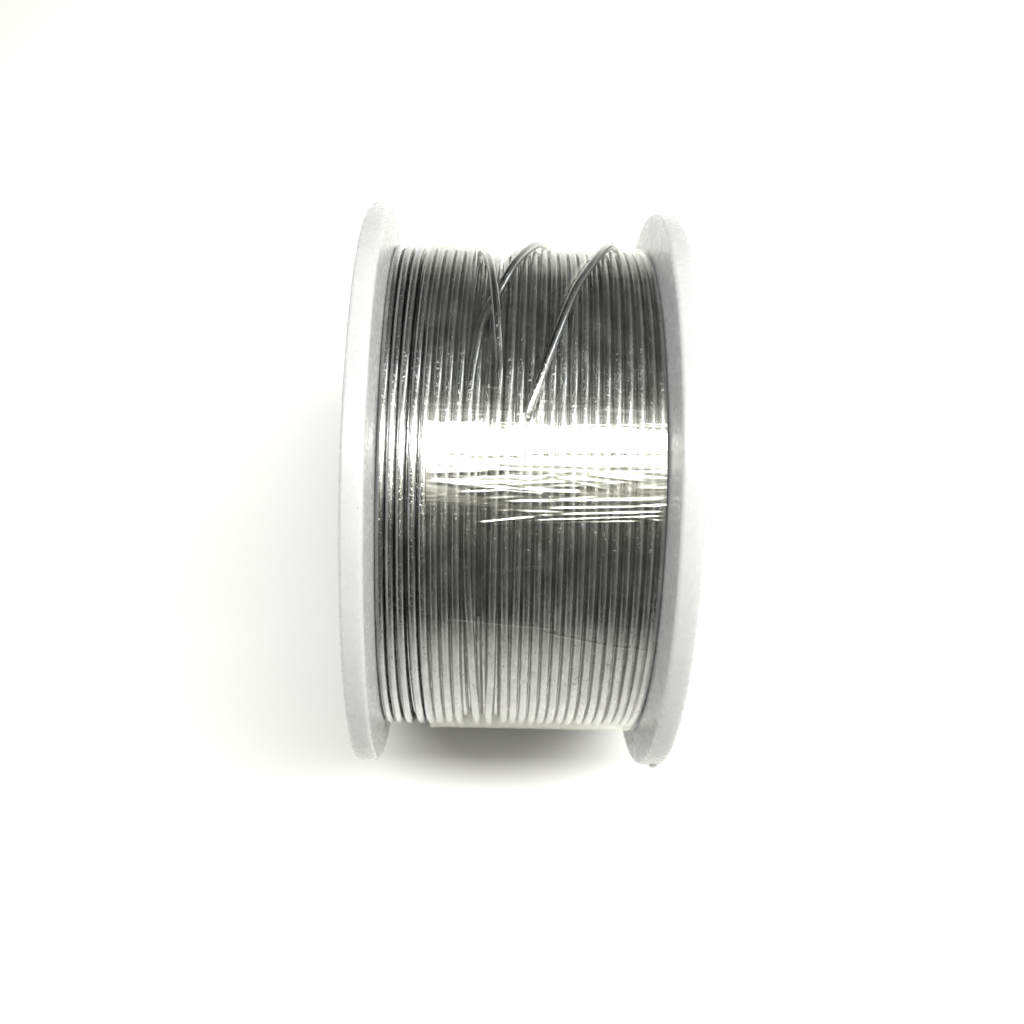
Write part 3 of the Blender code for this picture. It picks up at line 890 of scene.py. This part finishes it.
def film_heights(alongs, angles):
    """The film's radius round the winding, drawn up into a low tent beside each crossing wire and
    close over the wire itself, and how much it clings to such a wire, from 0 to 1."""
    tents = np.full((len(alongs), len(angles)), FILM_R)
    close = tents.copy()
    for i, along in enumerate(alongs):
        for angle, centre, half in strands_at(along):
            gap = np.radians(np.abs((angles - angle + 180) % 360 - 180))
            lift = math.acos(min(1.0, FILM_R / (centre + half)))
            lean = np.clip(lift - TENT_FALL * gap, 0, None)
            tents[i] = np.maximum(tents[i], FILM_R / np.cos(lean))
            beside = centre * np.sin(np.minimum(gap, 1.0))
            top = centre * np.cos(gap) + np.sqrt(np.clip(half**2 - beside**2, 0, None))
            over = np.maximum(close[i], top + FILM_STAND_OFF)
            close[i] = np.where(beside < half, over, close[i])
    share = TENT_SHARE * np.clip(np.gradient(angles) / WIDE_STEP, LEAST_SHARE, 1.0)
    for _ in range(TENT_ROUND_PASSES):
        tents = smoothed(tents, share)
    both = np.maximum(blurred(tents, TENT_ALONG_PASSES), close)
    for _ in range(LAST_ROUND_PASSES):
        both = smoothed(both, LAST_SHARE)
    both = blurred(both, LAST_ALONG_PASSES)
    raised = np.clip((both - FILM_R - CLINGING_FROM) / CLINGING_RISE, 0, 1)
    fade = np.clip((angles - CLINGING_ANGLE) / CLINGING_FADE, 0, 1)
    return both, widened(raised, CLINGING_PASSES) * fade


def small_creases():
    """Short fine creases scattered over the crumpled band of the film, and a few at the top."""
    rng = np.random.default_rng(CREASE_SEED)
    found = []
    for i in range(SMALL_COUNT):
        angle = rng.uniform(*(BAND if i < BAND_COUNT else FRINGE))
        start = rng.uniform(*SMALL_START)
        width = rng.uniform(*SMALL_WIDTH)
        tilt = math.radians(abs(angle - LAMP_MIRROR)) * rng.uniform(*TILT_SHARE)
        slant = rng.normal() * SMALL_SLANT
        end = start + rng.uniform(*SMALL_LENGTH)
        found.append((angle, slant, start, end, width, tilt * width * HEIGHT_SHARE))
    for _ in range(TOP_COUNT):
        angle = rng.uniform(*TOP)
        start = rng.uniform(*TOP_START)
        slant = rng.normal() * TOP_SLANT
        end = start + rng.uniform(*TOP_LENGTH)
        found.append((angle, slant, start, end, TOP_WIDTH, TOP_HEIGHT))
    return found


def film_sleeve():
    angles = np.concatenate([np.arange(*span) for span in FILM_SPANS])
    shares = np.linspace(0, 1, FILM_ROWS)
    wrapped = (angles + 180) % 360 - 180
    left = smooth_line(FILM_EDGE)(wrapped)
    along = left + (FILM_RIGHT - left) * shares[:, None]
    height, clinging = film_heights(FILM_LEFT + (FILM_RIGHT - FILM_LEFT) * shares, angles)
    for angle, slant, start, end, width, size in CREASES + small_creases():
        centre = angle + slant * (along - start)
        into, out_of = ((off / CREASE_FADE).clip(0, 1) for off in (along - start, end - along))
        height = height + size * into * out_of * np.exp(-(((wrapped - centre) / width) ** 2))
    for centre, half, size in LOOSE:
        off = (angles - centre + 180) % 360 - 180
        height = height + size * np.exp(-((off / half) ** 2))
    height = height + EDGE_CURL * np.exp(-(along - left) / CURL_WIDTH)

    count = len(angles)
    verts, faces = [], []
    for row, radii in zip(along, height):
        verts += [place(a * MM, r * MM, math.radians(t)) for a, r, t in zip(row, radii, angles)]
    for i in range(FILM_ROWS - 1):
        a, b = i * count, (i + 1) * count
        for j in range(count):
            k = (j + 1) % count
            faces.append((a + j, b + j, b + k, a + k))
    sleeve = mesh_object("film_sleeve", verts, faces)
    shown = sleeve.data.attributes.new("clinging", "FLOAT", "POINT")
    shown.data.foreach_set("value", clinging.astype(np.float32).ravel())
    give(sleeve, FILM)
    return sleeve


film = film_sleeve()
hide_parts("film_wrap")
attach(film, "root")


# ---------------------------------------------------------------- floor, lights and camera

FLOOR_HALF = 2.5
bm = bmesh.new()
bmesh.ops.create_grid(bm, x_segments=2, y_segments=2, size=FLOOR_HALF)
floor = bmesh_object("floor", bm)
give(floor, floor_material())


def area_light(name, place_at, towards, size, radiance, colour):
    """A rectangular light at a place above the spool's axis, facing along towards; size is along X
    and across it."""
    data = bpy.data.lights.new(name, "AREA")
    data.shape = "RECTANGLE"
    data.size, data.size_y = size
    data.energy = radiance * math.pi * size[0] * size[1]
    data.color = colour
    light = link(bpy.data.objects.new(name, data))
    light.location = Vector((0, 0, AXIS_Z)) + Vector(place_at)
    light.rotation_euler = Vector(towards).to_track_quat("-Z", "Y").to_euler()


area_light(
    "key", place_at=(0.12, -0.043, 0.5), towards=(0.0, 0.07, -1.0), size=(1.3, 0.078),
    radiance=21.0, colour=(1.0, 1.0, 0.985),
)
area_light(
    "right", place_at=(0.62, 0.34, 0.36), towards=(-0.62, -0.34, -0.36), size=(0.06, 0.8),
    radiance=7.5, colour=(0.93, 0.97, 1.0),
)

# The soft glow of the room round the lamp, by direction across the winding: degrees from straight
# up, positive towards +Y, a level and a tint
ROOM = [
    (-95, 0.08, (1.0, 1.0, 1.0)), (-58, 0.09, (1.0, 1.0, 0.96)), (-42, 0.14, (1.0, 1.0, 0.86)),
    (-32, 0.30, (1.0, 1.0, 0.75)), (-22, 0.75, (1.0, 1.0, 0.77)), (-14, 2.10, (1.0, 1.0, 0.86)),
    (5, 2.10, (1.0, 1.0, 0.90)), (11, 0.60, (1.0, 1.0, 0.84)), (16, 0.17, (1.0, 1.0, 0.83)),
    (26, 0.11, (0.98, 1.0, 0.86)), (60, 0.10, (0.95, 1.0, 0.90)), (100, 0.09, (0.96, 1.0, 1.0)),
]
# The radiance that a level of 1 stands for, and the background strength, which keeps the ramp's
# colours below 1
ROOM_RADIANCE, ROOM_STRENGTH = 2.0, 10.0
# How much of that glow there is, from straight towards -X (0) to straight towards +X (1)
ROOM_SIDES = [(0.0, 0.03), (0.40, 0.15), (0.50, 0.40), (0.62, 0.80), (0.80, 1.0), (1.0, 0.9)]
# Where the plain grey ends of the room take over from that glow, and their radiance
ROOM_ENDS = [(0.0, 1.0), (0.04, 0.9), (0.13, 0.0), (0.89, 0.0), (0.965, 0.9), (1.0, 1.0)]
END_GREY = 0.16


def room_world():
    n = Nodes(bpy.data.worlds.new("room"))
    bpy.context.scene.world = n.owner
    split = n.add("SeparateXYZ", {"Vector": n.add("TexCoord").outputs["Generated"]})
    turned_by = n.math("ARCTAN2", split.outputs[1], split.outputs[2])
    round_it = n.remap(turned_by, (-math.pi, math.pi))
    along_it = n.remap(split.outputs[0], (-1.0, 1.0))
    scale = ROOM_RADIANCE / ROOM_STRENGTH
    stops = [((a + 180) / 360, [level * scale * c for c in tint]) for a, level, tint in ROOM]
    glow = n.mix(1.0, n.ramp(round_it, stops), n.levels(along_it, ROOM_SIDES), "MULTIPLY")
    grey = END_GREY / ROOM_STRENGTH
    room = n.mix(n.levels(along_it, ROOM_ENDS), glow, (grey, grey, grey, 1.0))
    background = n.tree.nodes["Background"]
    n.set(background.inputs["Color"], room)
    n.set(background.inputs["Strength"], ROOM_STRENGTH)


room_world()

# The camera, from the axis's middle: how far it is tilted, its small turns about its own axes, and
# its place in camera units
CAMERA_TILT = math.radians(22.5)
CAMERA_TURN = [math.radians(a) for a in (2.27, -1.51, 1.33)]
CAMERA_UNIT = 27.5
CAMERA_AT = Vector((-0.119, -0.271, 4.437)) * CAMERA_UNIT * MM
LENS, SENSOR = 42.19, 36.0
CLIP_NEAR, CLIP_FAR = 0.005, 20

camera_data = bpy.data.cameras.new("camera")
camera_data.lens = LENS
camera_data.sensor_width = SENSOR
camera_data.clip_start = CLIP_NEAR
camera_data.clip_end = CLIP_FAR
camera = link(bpy.data.objects.new("camera", camera_data))
turn_x, turn_y, turn_z = (
    Matrix.Rotation(angle, 4, axis) for angle, axis in zip(CAMERA_TURN, "XYZ")
)
camera.matrix_world = (
    Matrix.Translation((0, 0, AXIS_Z))
    @ Matrix.Rotation(CAMERA_TILT, 4, "X")
    @ Matrix.Translation(CAMERA_AT)
    @ turn_z @ turn_y @ turn_x
)
bpy.context.scene.camera = camera

view = bpy.context.scene.view_settings
view.view_transform = "Standard"
view.look = "None"
